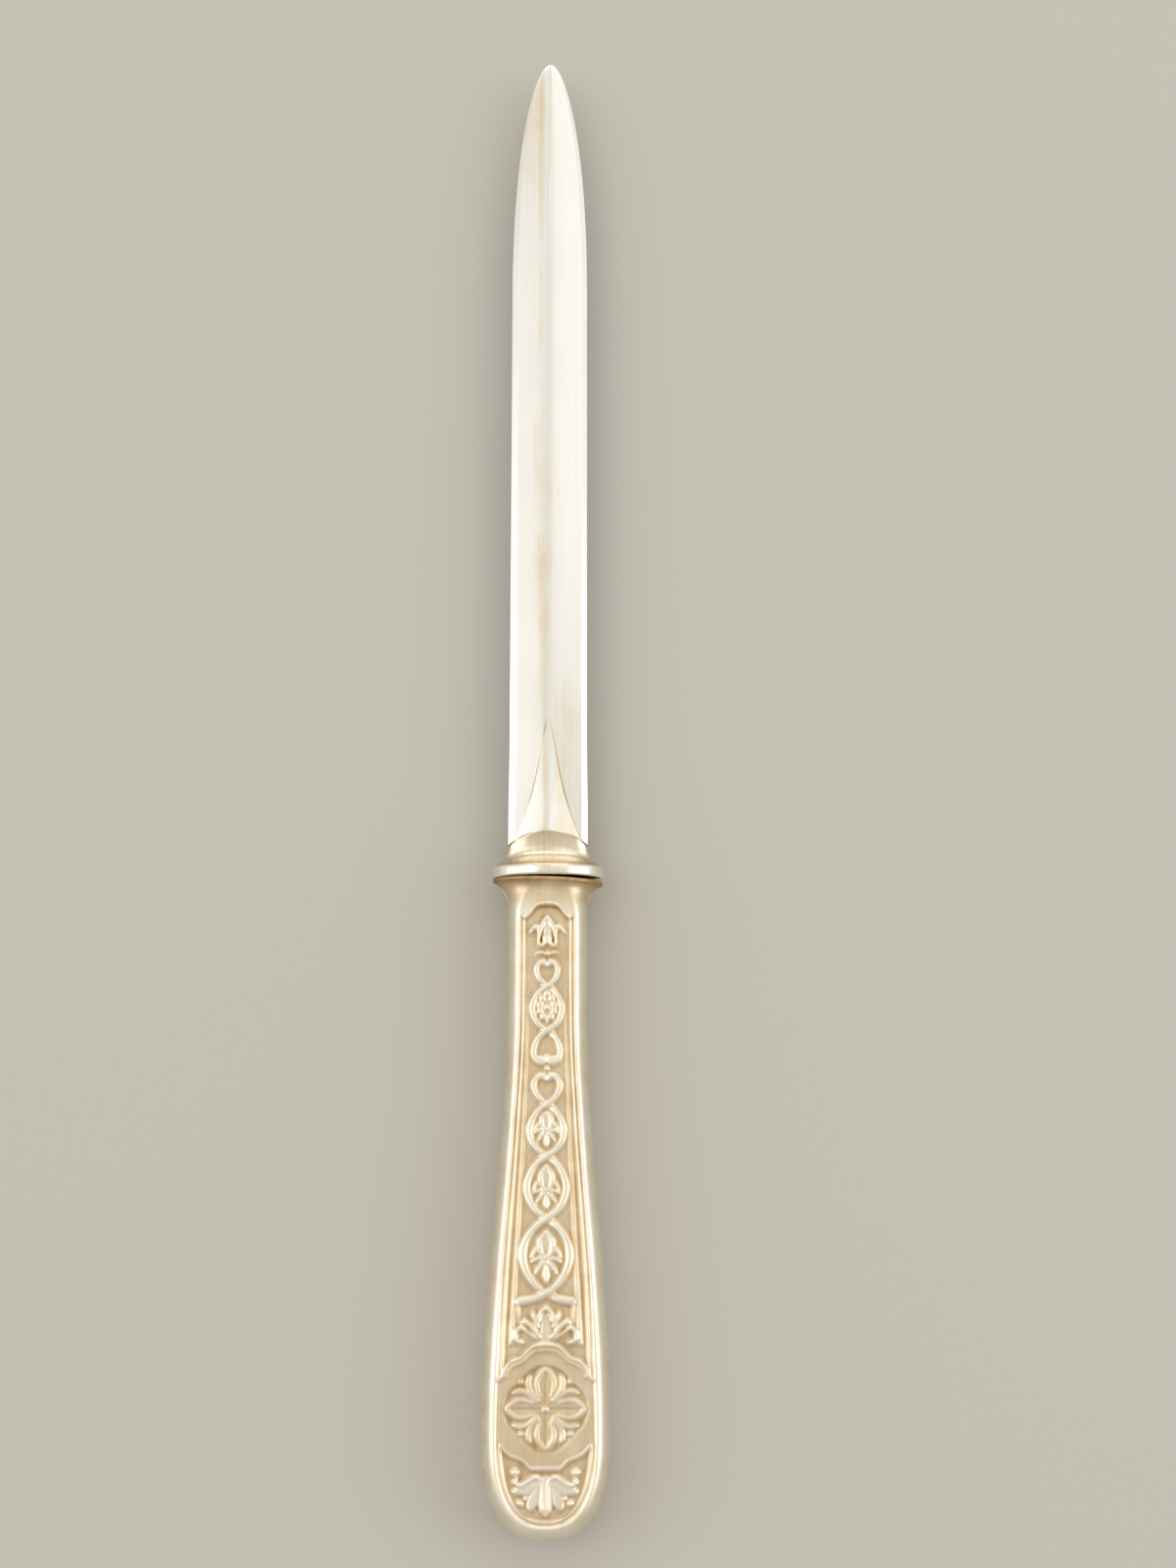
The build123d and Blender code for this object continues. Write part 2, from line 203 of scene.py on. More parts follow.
even = np.linspace(1, -1, COLUMNS)
at_bead = even[BEAD_COLUMN]
bead_share = np.clip(np.interp(-row_y, -bead_y, bead_x) / flat_half, 0.55, 0.9)[:, None]
inside_bead = np.abs(even) / at_bead * bead_share
past_bead = 1 - (1 - np.abs(even)) / (1 - at_bead) * (1 - bead_share)
flat_share = np.sign(even) * np.where(np.abs(even) < at_bead, inside_bead, past_bead)
grid_x = np.hstack([corner_x[:, ::-1], flat_half[:, None] * flat_share, -corner_x])
grid_y = row_y[:, None] - grid_x * LIP_TURN * row_flare[:, None]
side_x = np.abs(grid_x)
print("relief grid:", grid_x.shape)

# %% [markdown]
# ## Punches and gravers
# All ornament is made with a few strokes. A stroke follows a line of pins, each with its place, its
# half-width and its height. One tool raises a rounded band along the line, one cuts a furrow, and
# one raises a round bead. Each works on the distance of every grid point from the line. Sculpting
# brushes could do the same by hand, but a stroke in numbers can be moved and drawn again.

# %% Distance from a line
def band(line, sides):
    """For each grid point the distance to the nearest stretch of a line, as a share of the line's
    half-width there, and the line's height there. Line points are (x, y, half-width, height)."""
    near = np.full(grid_x.shape, 9.0)
    height = np.zeros(grid_x.shape)
    for stretch in np.array_split(np.arange(len(line) - 1), max(1, len(line) // 10)):
        pins = line[stretch[0] : stretch[-1] + 2]
        start, step = pins[:-1], np.diff(pins, axis=0)
        length_squared = step[:, 0] ** 2 + step[:, 1] ** 2 + 1e-12
        reach = pins[:, 2].max() + 0.3
        window = slice(*np.searchsorted(-row_y, [-pins[:, 1].max() - reach, reach - pins[:, 1].min()]))
        for side in sides:
            across = side * grid_x[window, :, None] - start[:, 0]
            along = grid_y[window, :, None] - start[:, 1]
            part_way = np.clip((across * step[:, 0] + along * step[:, 1]) / length_squared, 0, 1)
            gap = np.hypot(across - part_way * step[:, 0], along - part_way * step[:, 1])
            share = gap / (start[:, 2] + part_way * step[:, 2])
            best = share.argmin(-1)[..., None]
            share = np.take_along_axis(share, best, -1)[..., 0]
            lift = start[best, 3] + np.take_along_axis(part_way, best, -1) * step[best, 3]
            height[window] = np.where(share < near[window], lift[..., 0], height[window])
            near[window] = np.minimum(share, near[window])
    return near, height


print("helper: band")

# %% Strokes
def emboss(points, base=0.0, power=2.0, sides=(1, -1)):
    """Raises a rounded band: base plus height times the square root of 1 less share to a power. A
    power of 2 is round, a higher one flatter. The higher of the band and what is there stays."""
    near, height = band(curve(points), sides)
    raised = base + height * np.sqrt(np.clip(1 - near**power, 0, 1))
    relief[:] = np.where(near < 1, np.maximum(relief, raised), relief)


def engrave(points, sides=(1, -1)):
    """Cuts a furrow whose depth falls evenly from the middle of the band to its edge."""
    near, depth = band(curve(points), sides)
    relief[:] -= depth * np.clip(1 - near, 0, 1)


def bead(x, y, radius, height, base=0.0):
    """Raises a round bead, and its mirror image if it isn't on the middle line."""
    sides = (1, -1) if x else (1,)
    emboss([(x, y, radius, height), (x, y - 0.01, radius, height)], base, sides=sides)


print("strokes: emboss, engrave, bead")

# %% [markdown]
# ## The border
# The panel is sunk. Going outwards its edge rises over a fine bead and falls into a groove, and
# then climbs to the plain shoulder; this profile is read off by the distance from the bead line.
# A profile swept along the outline could be laid on, but the border is part of the same sheet. An
# arch closes the panel under the lip, and a low ridge runs down inside the bead.

# %% Border and arch
PLAIN = 0.34
BEAD_REACH = 1.2
bead_line = np.column_stack([bead_x, bead_y, 0 * bead_x + BEAD_REACH, 0 * bead_x])
bead_distance = BEAD_REACH * band(bead_line, (1, -1))[0]
outer_side = (side_x > np.interp(-grid_y, -bead_y, bead_x)) | (grid_y < bead_y[-1])
outside = np.where(outer_side, bead_distance, -bead_distance)
profile_at = [-0.30, -0.20, -0.11, 0.0, 0.11, 0.20, 0.28, 0.36, 0.50, 0.70, 1.0]
profile_height = [0.0, 0.03, 0.20, 0.25, 0.20, 0.04, 0.03, 0.10, 0.29, 0.33, PLAIN]
relief = np.interp(outside, profile_at, profile_height)

arch_x = [0, 0.6, 1.2, 1.7, 2.0, 2.35, 2.85, 3.2, 6]
arch_y = [-20.0, -20.05, -20.2, -20.5, -20.95, -21.5, -22.05, -21.9, -21.9]
below_arch = ease((np.interp(side_x, arch_x, arch_y) - grid_y + 0.1) / 0.35)
relief = PLAIN + (relief - PLAIN) * below_arch
arch = [(0, -20.2), (0.6, -20.25), (1.2, -20.4), (1.7, -20.75), (2.05, -21.2), (2.4, -21.7), (2.95, -22.1)]
emboss([(x, y, 0.3 - 0.03 * x, 0.52) for x, y in arch])

ridge = [(2.5, -30), (2.55, -38), (2.8, -46), (3.05, -52), (3.45, -60), (3.75, -66), (4.05, -71), (4.35, -76)]
emboss([(x, y, 0.1 + 0.06 * (x - 1), 0.05 * (x - 1) * min(1.0, -y / 8 - 3.75)) for x, y in ridge])
print("border drawn, highest point", round(float(relief.max()), 2), "mm")

# %% [markdown]
# ## The twisted strap
# Two strands cross and part like a guilloche, an old strapwork pattern. One list of pins gives
# the strand that starts on the right; its mirror image is the other. At each crossing one strand
# lies over the other, so its height rises a little there and the other's dips. Bent tubes could be
# laid on the face instead, but a die leaves no undercut, and a raised band has none. The strands
# start thick, so that each pair closes into the top of a heart.

# %% Strand pins
upper_strand = [
    (0.0, -28.1), (0.4, -27.95), (0.85, -27.98), (1.2, -28.25), (1.4, -28.75), (1.3, -29.35), (0.95, -30.1),
    (0.45, -30.65), (0, -31.0), (-0.65, -31.4), (-1.4, -32.2), (-1.85, -33.2), (-1.9, -34.1), (-1.65, -35.1),
    (-1.05, -36.0), (-0.45, -36.45), (0, -36.75), (0.55, -37.1), (1.25, -37.9), (1.65, -38.9), (1.7, -39.7),
    (1.4, -40.5), (0.85, -40.85), (0.35, -40.7), (0.12, -40.25),
]
lower_strand = [
    (0.0, -42.8), (0.45, -42.62), (0.95, -42.65), (1.4, -42.95), (1.68, -43.45), (1.66, -44.0), (1.33, -44.8),
    (0.75, -45.6), (0, -46.2), (-1.1, -47.0), (-1.95, -48.3), (-2.2, -49.5), (-1.95, -50.75), (-1.15, -51.9),
    (0, -52.75), (1.3, -53.7), (2.2, -55.2), (2.5, -56.7), (2.2, -58.2), (1.35, -59.55), (0, -60.6),
    (-1.5, -61.7), (-2.6, -63.3), (-2.98, -65.1), (-2.65, -66.8), (-1.65, -68.5), (-0.55, -69.55),
    (0, -69.85), (0.6, -70.15), (1.7, -70.6), (3.4, -70.9),
]
over_right = np.array([-31.0, -46.2, -60.6])
over_left = np.array([-36.75, -52.75, -69.85])
print("crossings:", len(over_right) + len(over_left))

# %% Strands
STRAND_STEP = 0.25


def strand(points, side):
    """A strand on one side: its width grows down the handle and is fuller at the start, and a bell
    curve round each crossing lifts its height where it passes over and sinks it where it passes
    under."""
    line = curve(points, STRAND_STEP)
    over, under = (over_right, over_left) if side > 0 else (over_left, over_right)
    crossing = np.exp(-(((line[:, 1:2] - over) / 0.55) ** 2)).sum(1)
    passing = np.exp(-(((line[:, 1:2] - under) / 0.5) ** 2)).sum(1)
    half_width = np.interp(-line[:, 1], [27, 34, 50, 66, 71], [0.42, 0.46, 0.48, 0.54, 0.54])
    half_width = half_width + 0.12 * ease(1 - STRAND_STEP * np.arange(len(line)) / 1.8)
    height = 0.28 + 0.04 * crossing - 0.19 * passing
    return np.column_stack([side * line[:, 0], line[:, 1], half_width, height])


for points in (upper_strand, lower_strand):
    for side in (1, -1):
        emboss(strand(points, side), power=2.4, sides=(1,))
bulb = [(0.72, -40.6, 0.64, 0.3), (1.1, -40.55, 0.64, 0.3)]
emboss(bulb, power=2.2)
for y in (-28.0, -40.55, -42.7):
    engrave([(0, y + 0.55, 0.11, 0.2), (0, y - 0.55, 0.11, 0.2)], sides=(1,))
strap_end = [
    (3.38, -70.5, 0.2, 0.28), (3.42, -71.3, 0.2, 0.28), (3.48, -72.4, 0.15, 0.22), (3.48, -73.6, 0.12, 0.14),
]
emboss(strap_end)
print("strands:", len(upper_strand) + len(lower_strand), "pins on each side")

# %% [markdown]
# ## Leaves of the strap
# Small leaf sprigs sit in the loops. A sprig is one half of a leaf drawn as five short bands, in
# shares of its height and its reach: the pointed crown, two side leaves, a lower leaf and the stem.
# Its mirror image is the other half. Shares are used because one recipe then fits loops of any size.

# %% Sprigs
SPRIG = [
    [(0.34, 0.28, 0.24), (0.46, 0.5, 0.34), (0.34, 0.76, 0.36), (0.0, 0.97, 0.24)],
    [(0.2, 0.06, 0.2), (0.62, 0.30, 0.38), (0.86, 0.16, 0.34), (1.0, -0.02, 0.2)],
    [(0.2, -0.08, 0.18), (0.6, -0.07, 0.24), (0.98, -0.18, 0.16)],
    [(0.12, -0.16, 0.18), (0.52, -0.40, 0.3), (0.7, -0.62, 0.2)],
    [(0.0, -0.3, 0.2), (0.0, -0.7, 0.34), (0.0, -0.98, 0.12)],
]


def sprig(y, rise, fall, reach):
    """Leaf round a bead at height y: it rises and falls so far and reaches so far to each side."""
    thick = 0.62 + 0.25 * reach
    pad = [(0.7 * rise, 0.34, 0.17), (0.0, 0.66, 0.1), (-0.7 * fall, 0.3, 0.1)]
    emboss([(0, y + up, w * reach, height) for up, w, height in pad], power=4)
    for leaf in SPRIG:
        pins = [(reach * x, y + (rise if up > 0 else fall) * up, thick * w, 0.25) for x, up, w in leaf]
        emboss(pins, power=2.4)
    bead(0, y, 0.27 * thick, 0.29)


sprig(-49.4, 2.2, 2.3, 1.5)
sprig(-57.0, 3.0, 2.5, 1.65)
sprig(-65.4, 3.2, 3.3, 1.85)
print("sprigs of", len(SPRIG), "bands on each side")

# %% [markdown]
# The uppermost sprig is so small that it is only a bunch of rounded lobes on a low pad. A lily stands
# above it under the arch: one folded band for its two tongues, a leaf to each side and a raised
# middle. Beads mark the breaks between the loops. All of them are strokes again, so they melt into
# the same skin.

# %% Bunch, lily and beads
bunch_pad = [(0, -32.2, 0.5, 0.1), (0, -33.6, 0.9, 0.1), (0, -35.2, 0.4, 0.1)]
bunch = [(0, -32.0, 0.5), (0.6, -32.6, 0.52), (0.93, -33.42, 0.56), (0.9, -34.27, 0.5), (0.48, -34.98, 0.52)]
emboss(bunch_pad, power=4, sides=(1,))
for x, y, radius in bunch:
    bead(x, y, radius, 0.27)
bead(0, -33.75, 0.42, 0.29)
emboss([(0, -35.3, 0.3, 0.24), (0, -35.8, 0.14, 0.18)], sides=(1,))

lily = [
    (0.0, -22.0), (0.42, -22.55), (0.68, -23.1), (0.95, -23.6), (1.1, -24.5), (1.12, -25.3), (0.9, -25.75),
    (0.6, -25.7), (0.42, -25.2), (0.4, -24.6),
]
lily_leaf = [(0.9, -23.5, 0.38), (1.5, -23.35, 0.4), (2.0, -23.6, 0.34), (2.25, -24.05, 0.24)]
lily_tongue = [(0, -22.7, 0.3), (0, -23.8, 0.5), (0, -25.4, 0.3)]
emboss([(x, y, w, 0.16) for x, y, w in lily_tongue], power=4, sides=(1,))
emboss([(x, y, 0.4 if y > -24 else 0.27, 0.3) for x, y in lily], power=3)
emboss([(x, y, w, 0.29) for x, y, w in lily_leaf], power=3)
bead(0, -26.75, 0.36, 0.28)
emboss([(0.3, -26.8, 0.22, 0.2), (0.9, -26.65, 0.26, 0.2), (1.5, -26.8, 0.14, 0.1)])
bead(0, -41.62, 0.38, 0.28)
print("leaves drawn, highest point", round(float(relief.max()), 2), "mm")

# %% [markdown]
# ## The medallion
# A raised plate with an ogee frame carries a barbed quatrefoil, a Gothic form of four lobes with
# a point between each pair. The plate's edge is given as a height y for each distance x from the
# middle; the recess is the union of four circles and a square, measured by the distance to its edge.
# A boolean cut would leave a sheer wall there; a distance gives the wall the slope that a die needs.

# %% Frame lines
crown = [
    (0, -76.2), (1.3, -76.33), (2.1, -76.8), (2.65, -77.4), (3.25, -77.9), (4.0, -78.15), (4.6, -78.5),
    (5.05, -79.2), (5.4, -79.95),
]
inner_crown = [
    (0, -76.77), (1.3, -76.93), (2.05, -77.45), (2.7, -78.05), (3.4, -78.42), (4.25, -78.8), (4.8, -79.45),
    (5.1, -80.1),
]
crown_groove = [
    (0, -76.5), (1.3, -76.64), (2.08, -77.12), (2.68, -77.74), (3.32, -78.17), (4.14, -78.47), (4.7, -79.0),
    (5.1, -79.7),
]
foot = [
    (0, -91.1), (1.6, -91.12), (2.05, -90.95), (2.6, -90.4), (3.1, -90.05), (3.6, -89.9), (4.5, -89.5),
    (5.1, -88.95), (5.65, -88.3),
]
print("frame height:", round(crown[0][1] - foot[0][1], 1), "mm")

# %% Plate
PLATE_HEIGHT = 0.2
crown_y = np.interp(side_x, *np.transpose(crown))
foot_y = np.interp(side_x, *np.transpose(foot))
plate = ease(np.minimum(crown_y - grid_y, grid_y - foot_y) / 0.3) * ease((0.42 - outside) / 0.25)
relief = relief * (1 - plate) + PLATE_HEIGHT * plate
emboss([(x, y, 0.35, 0.36) for x, y in crown])
emboss([(x, y, 0.34, 0.34) for x, y in inner_crown])
engrave([(x, y, 0.13, 0.2) for x, y in crown_groove])
emboss([(x, y, 0.32 if x < 1.7 else 0.21, 0.32) for x, y in foot])
emboss([(5.5, -80.15, 0.35, 0.34), (5.85, -80.4, 0.42, 0.35)])
print("share of the face under the plate:", round(float(plate.mean()), 3))

# %% Recess
MEDALLION, RECESS_DEPTH = -84.0, 0.18
up = np.abs(grid_y - MEDALLION)
circles = np.minimum(np.hypot(side_x - 1.85, up), np.hypot(side_x, up - 1.85)) - 3.4
square = np.maximum(side_x, up) - 3.45
recess = np.minimum(circles, square)
relief = relief - RECESS_DEPTH * ease((0.17 - recess) / 0.34)
print("recess height:", round(float(np.ptp(grid_y[recess < 0])), 1), "mm")

# %% [markdown]
# In the recess lies a rosette of four leaves. One leaf is drawn along a line from the middle: a
# broad body, a pointed middle lobe and a side lobe, each with a rolled edge. It is then turned by
# quarter turns, which keeps the four leaves alike, and beads fill the corners.

# %% Rosette
PETAL = [(0.5, 0, 0.5), (1.6, 0, 0.8), (2.7, 0, 1.1), (3.6, 0, 1.2), (4.4, 0, 0.95), (4.9, 0, 0.25)]
PETAL_EDGE = [
    (1.5, 0.7, 0.16), (2.4, 1.0, 0.25), (3.25, 1.08, 0.31), (3.95, 0.85, 0.33), (4.5, 0.45, 0.31),
    (4.9, 0, 0.22),
]
LOBE = [(1.1, 0.9, 0.3), (1.95, 1.55, 0.45), (2.9, 1.9, 0.45), (3.6, 1.95, 0.36), (4.0, 1.95, 0.2)]
LOBE_EDGE = [
    (1.1, 0.85, 0.2), (1.7, 1.42, 0.28), (2.4, 1.98, 0.32), (3.1, 2.2, 0.33), (3.7, 2.1, 0.3),
    (4.0, 1.95, 0.2),
]
BODY = [(0.8, 0, 0.9), (1.8, 0, 1.6), (2.6, 0, 2.0), (3.0, 0, 1.7)]
MIDRIB = [(0.45, 0, 0.22), (2.5, 0, 0.24), (4.3, 0, 0.15)]
LEAF = ((BODY, 0.06), (LOBE, 0.09), (LOBE_EDGE, 0.22), (PETAL, 0.1), (PETAL_EDGE, 0.22))


def turned(pins, turn, half, height):
    """Pins given along and across a leaf, on one half of it, turned in the plane: along plus i across
    is multiplied by i once for each quarter turn."""
    along, across, width = np.transpose(pins)
    spot = 1j**turn * (along + 1j * half * across)
    return np.column_stack([spot.real, MEDALLION + spot.imag, width, 0 * width + height])


for turn in range(4):
    for half in (1, -1):
        for pins, height in LEAF:
            emboss(turned(pins, turn, half, height), 0.03, power=3, sides=(1,))
for turn in range(4):
    engrave(turned(MIDRIB, turn, 1, 0.12), sides=(1,))
bead(0, MEDALLION, 0.4, 0.24, 0.05)
for y in (MEDALLION + 3.3, MEDALLION - 3.0):
    bead(3.1, y, 0.38, 0.24, 0.05)
print("rosette drawn in", 8 * len(LEAF), "bands")

# %% [markdown]
# ## The palmettes
# Fans of leaves with scrolled ends fill the panel above and below the medallion. They use the
# same bands again: broad flat ones for the leaves, thin round ones for the ribs and scrolls, and
# beads between them. Leaves modelled apart could be set on the face, but bands on one grid melt
# together as they do in struck metal.

# %% Upper palmette
trunk = [(0, -75.6, 0.8, 0.17), (0, -74.2, 0.72, 0.17), (0, -72.9, 0.62, 0.16)]
hood = [(0.85, -73.35, 0.22), (0.84, -72.7, 0.3), (0.55, -72.05, 0.35), (0, -71.68, 0.32)]
upright = [(0.95, -74.05, 0.2), (1.2, -73.35, 0.36), (1.48, -72.75, 0.4), (1.6, -72.3, 0.26)]
drooping = [
    (0.75, -75.25, 0.26), (1.2, -74.7, 0.35), (1.75, -74.0, 0.4), (2.3, -73.55, 0.43), (2.8, -73.4, 0.44),
]
volute = [
    (2.75, -74.25, 0.22), (3.2, -74.1, 0.3), (3.68, -74.45, 0.34), (3.88, -75.05, 0.35), (3.65, -75.65, 0.35),
    (3.15, -75.85, 0.38),
]
emboss(trunk, power=4, sides=(1,))
for pins in (hood, upright, drooping, volute):
    emboss([(x, y, w, 0.32) for x, y, w in pins], power=2.6)
emboss([(1.0, -75.5, 0.26, 0.17), (1.9, -74.95, 0.26, 0.17), (2.8, -74.3, 0.2, 0.2)])
engrave([(0, -75.5, 0.13, 0.08), (0, -72.7, 0.1, 0.06)], sides=(1,))
print("upper palmette of", len((trunk, hood, upright, drooping, volute)), "bands")

# %% Lower palmette
fan = [
    [(0, -92.6, 0.6), (0, -94.6, 1.0), (0, -95.9, 0.85), (0, -96.7, 0.3)],
    [(0.8, -92.8, 0.6), (1.35, -94.4, 0.9), (1.7, -95.5, 0.65), (1.95, -96.0, 0.3)],
    [(1.0, -92.9, 0.6), (1.9, -93.6, 0.85), (2.7, -93.75, 0.65), (3.7, -93.9, 0.4)],
]
rib = [
    (0.3, -96.1, 0.2), (0.32, -93.6, 0.25), (0.42, -92.75, 0.28), (0.75, -92.3, 0.33), (1.3, -92.2, 0.36),
    (2.0, -92.55, 0.37), (2.8, -93.05, 0.37), (3.4, -93.15, 0.33), (3.9, -92.8, 0.24),
]
for pins in fan:
    emboss([(x, y, w, 0.21) for x, y, w in pins], power=5)
emboss([(x, y, w, 0.32) for x, y, w in rib])
engrave([(0.7, -93.4, 0.12, 0.06), (0.95, -95.0, 0.14, 0.1), (1.1, -96.2, 0.14, 0.12)])
engrave([(1.2, -93.4, 0.12, 0.06), (2.0, -94.4, 0.14, 0.1), (2.3, -95.0, 0.14, 0.12)])
emboss([(3.8, -91.9, 0.3, 0.28), (3.68, -92.4, 0.22, 0.24), (3.92, -92.85, 0.2, 0.22)])
bead(3.8, -91.6, 0.55, 0.35)
bead(3.1, -95.3, 0.42, 0.29)
bead(2.42, -94.75, 0.3, 0.26)
print("relief drawn, highest point", round(float(relief.max()), 2), "mm")

# %% [markdown]
# The die's edges are a little round, and years of polishing have worn the tops. One pass of a small
# moving average over the grid takes the hard edges off, where bevels would have to be set edge by
# edge. The relief then fades out towards the lip, which is plain, and stays below the top of the
# flange.

# %% Softening
def box_mean(field, rows, columns):
    """Mean over a window of rows and columns, from running sums of the padded field."""
    padded = np.pad(field, ((rows + 1, rows), (columns + 1, columns)), mode="edge").cumsum(0).cumsum(1)
    high, wide = 2 * rows + 1, 2 * columns + 1
    total = padded[high:, wide:] - padded[:-high, wide:] - padded[high:, :-wide] + padded[:-high, :-wide]
    return total / (high * wide)


# The opener's middle line lies 5 mm above the floor.
AXIS = np.array([0.0, 0.0, 5.0])
relief = box_mean(relief, 1, 1)
relief = np.minimum(relief, AXIS[2] - row_height[:, None]) * (1 - row_flare[:, None] ** 3)
print("relief finished, highest point", round(float(relief.max()), 2), "mm")

# %% [markdown]
# ## The two halves of the handle
# Each half is a shell of sheet silver about half a millimetre thick, closed round the butt and
# open at the mouth. A ring runs up from the seam, over the shoulder, across the relief, down the
# other side and back along the plain inside. The shoulder is rounded by the distance of a point
# from the outline, so it runs round the butt at one width. A thickness modifier could give the wall
# too, but it would press the relief into the inside. The back half is the same shell turned over.

# %% Outer skin
SHOULDER_DROP = 2.9
SEAM = 0.1
outline_x = np.append(row_width[len(flare_share) :], 0.0)
outline_y = np.append(row_y[len(flare_share) :], BUTT)
outline = np.column_stack([outline_x, outline_y, 0 * outline_x + SHOULDER, 0 * outline_x])
edge_share = np.clip(1 - band(outline, (1, -1))[0], 0, 1)
flare_edge = np.clip((side_x - flat_half[:, None]) / corner_width[:, None], 0, 1)
edge_share = np.where(row_flare[:, None] > 0, flare_edge, edge_share)
rise = (1 - edge_share**1.5) ** ROUNDING
rise = rise + (np.sqrt(1 - edge_share**2) - rise) * row_flare[:, None] ** 2
wall_top = row_height - SHOULDER_DROP * (1 - row_flare) - 0.94 * row_height * row_flare
wall_top = np.maximum(wall_top, SEAM)[:, None]
top_z = wall_top + (row_height[:, None] + relief - wall_top) * rise

foot_z = np.full((len(row_y), 1), SEAM)
outer_x = np.hstack([row_width[:, None], grid_x, -row_width[:, None]])
outer_z = np.hstack([foot_z, top_z, foot_z])
outer_y = row_y[:, None] - outer_x * LIP_TURN * row_flare[:, None]
print("outer skin:", outer_x.shape)

# %% Inner skin and shells
WALL = 0.5
in_y, in_width, in_height, in_lower, _ = handle_rows(WALL)
sweep = np.linspace(np.pi, 0, 15)
squareness = 0.5 + 0.5 * row_flare[:, None]
inner_x = in_width[:, None] * np.sign(np.cos(sweep)) * np.abs(np.cos(sweep)) ** squareness
inner_z = np.maximum(SEAM, in_height[:, None] * np.abs(np.sin(sweep)) ** squareness) * in_lower[:, None]
inner_y = in_y[:, None] - inner_x * LIP_TURN * row_flare[:, None]

outer_skin = np.stack([outer_x, outer_y, outer_z], axis=-1)
inner_skin = np.stack([inner_x, inner_y, inner_z], axis=-1)
front = np.hstack([outer_skin, inner_skin])
# Turning the shell over mirrors its heights.
TURN_OVER = np.array([1.0, 1.0, -1.0])
handle_front = ring_mesh("struck_front", front + AXIS, crisp=75)
handle_back = ring_mesh("struck_back", front[:, ::-1] * TURN_OVER + AXIS, crisp=75)

# %% [markdown]
# Tarnish gathers where polishing can't reach. The floor of the panel is toned, the tops are clean, and the
# darkest film lies along the foot of each raised form: there the relief grid lies below its own average over
# a small square. Towards the lip, next to the flange, a band of tone is partly tarnish and partly painted
# shade that dims the side box mirrored there. It could be painted by hand; worked out from the grid, it
# always fits the relief. The result is kept on the mesh as an attribute for the material to read.

# %% Tarnish and painted shade attribute
in_recess = ease(-recess / 0.2)
foot_film = (0.72 - 0.3 * in_recess) * np.clip((box_mean(relief, 3, 5) - relief) / 0.2, 0, 1)
floor_film = 0.4 * (1 - ease(relief / 0.24))
plate_film = (0.3 - 0.16 * in_recess) * plate
# Painted shade, partly tarnish: the band towards the lip is toned to dim the mirrored side box next to the
# flange.
lip_tarnish_and_shade = 0.3 * ease(1.6 * row_flare[:, None])
film_and_lip_shade = box_mean(foot_film + floor_film + plate_film + lip_tarnish_and_shade, 1, 1) + 0.1 * edge_share
tarnish_and_shade = np.hstack([film_and_lip_shade[:, :1], film_and_lip_shade, film_and_lip_shade[:, -1:], np.ones(inner_x.shape)])
for piece, values in ((handle_front, tarnish_and_shade), (handle_back, tarnish_and_shade[:, ::-1])):
    attribute = piece.data.attributes.new("tarnish_and_shade", "FLOAT", "POINT")
    attribute.data.foreach_set("value", values.astype(np.float32).ravel())
    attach(piece, "root")
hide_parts("handle_front")
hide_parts("handle_back")
print("mean tarnish on the face:", round(float(film_and_lip_shade.mean()), 2))

# %% [markdown]
# ## The blade
# The blade, the bolster and the tang are one forging. A box could be pulled into shape with loop
# cuts and creases; here each ring is given by its half-width and by the height of its upper side,
# and the underside mirrors it. The thick root runs out into the ground facets as a long wedge with
# a plunge line on each side. It ends in a curved crease, and past the crease a hollow neck flares
# into the flange. A plain grid would cut both lines into steps, so the columns are made to follow
# the plunge lines and the rows to follow the crease.

# %% Blade rows
BLADE_HALF, TIP_START, TIP_LENGTH = 5.15, 65.7, 34.3
tip_rows = TIP_START + TIP_LENGTH * np.sin(np.linspace(math.asin(0.9985), 0, 80))
middle_rows = np.linspace(TIP_START, 8.0, 40)[1:-1]
blade_row = np.concatenate([tip_rows, middle_rows, np.linspace(8.0, -15.0, 200)])
bend = ease((8 - blade_row) / 16) * (1 - ease((-11 - blade_row) / 3.5))
tip_share = np.clip((blade_row - TIP_START) / TIP_LENGTH, 0, 1)
blade_half = BLADE_HALF * (1 - tip_share**2.15) ** 0.56 + 0.1 * ease((3 - blade_row) / 10)
taper = (blade_half / BLADE_HALF)[:, None]
neck_flare = np.clip((-11.6 - blade_row + 1.75 * bend) / 3.4, 0, 1)
blade_half = (blade_half + 2.1 * neck_flare**2.6)[:, None]
print("blade rows:", len(blade_row))

# %% Blade columns
PLUNGE_STEP = 0.16
growth = np.clip((6.4 - blade_row) / 16.4, 0, 1.03)[:, None]
plunge = 2.9 * growth + 1.5 * growth**5
follow = np.maximum(plunge, 0.3 * blade_half)
half_step = PLUNGE_STEP * taper
outer_part = blade_half - (blade_half - follow - half_step) * np.linspace(0, 1, 35)[:-1] ** 2
step_part = follow + half_step * np.array([1.0, 0.5, 0.0, -0.5, -1.0])
inner_part = (follow - half_step) * np.linspace(1, 0, 23)[1:]
right_x = np.hstack([outer_part, step_part, inner_part])
blade_x = np.hstack([right_x, -right_x[:, -2::-1]])
blade_y = blade_row[:, None] - 1.6 * (blade_x / 5) ** 2 * bend[:, None]
print("blade grid:", blade_x.shape)

# %% [markdown]
# The heights are short formulas: two hollow-ground facets that meet in a soft ridge, a narrow bevel
# at each edge, the wedge, and an oval for the neck, the flange and its rounded rim. Hand grinding
# leaves the facets a little wavy, which shows in what they mirror.

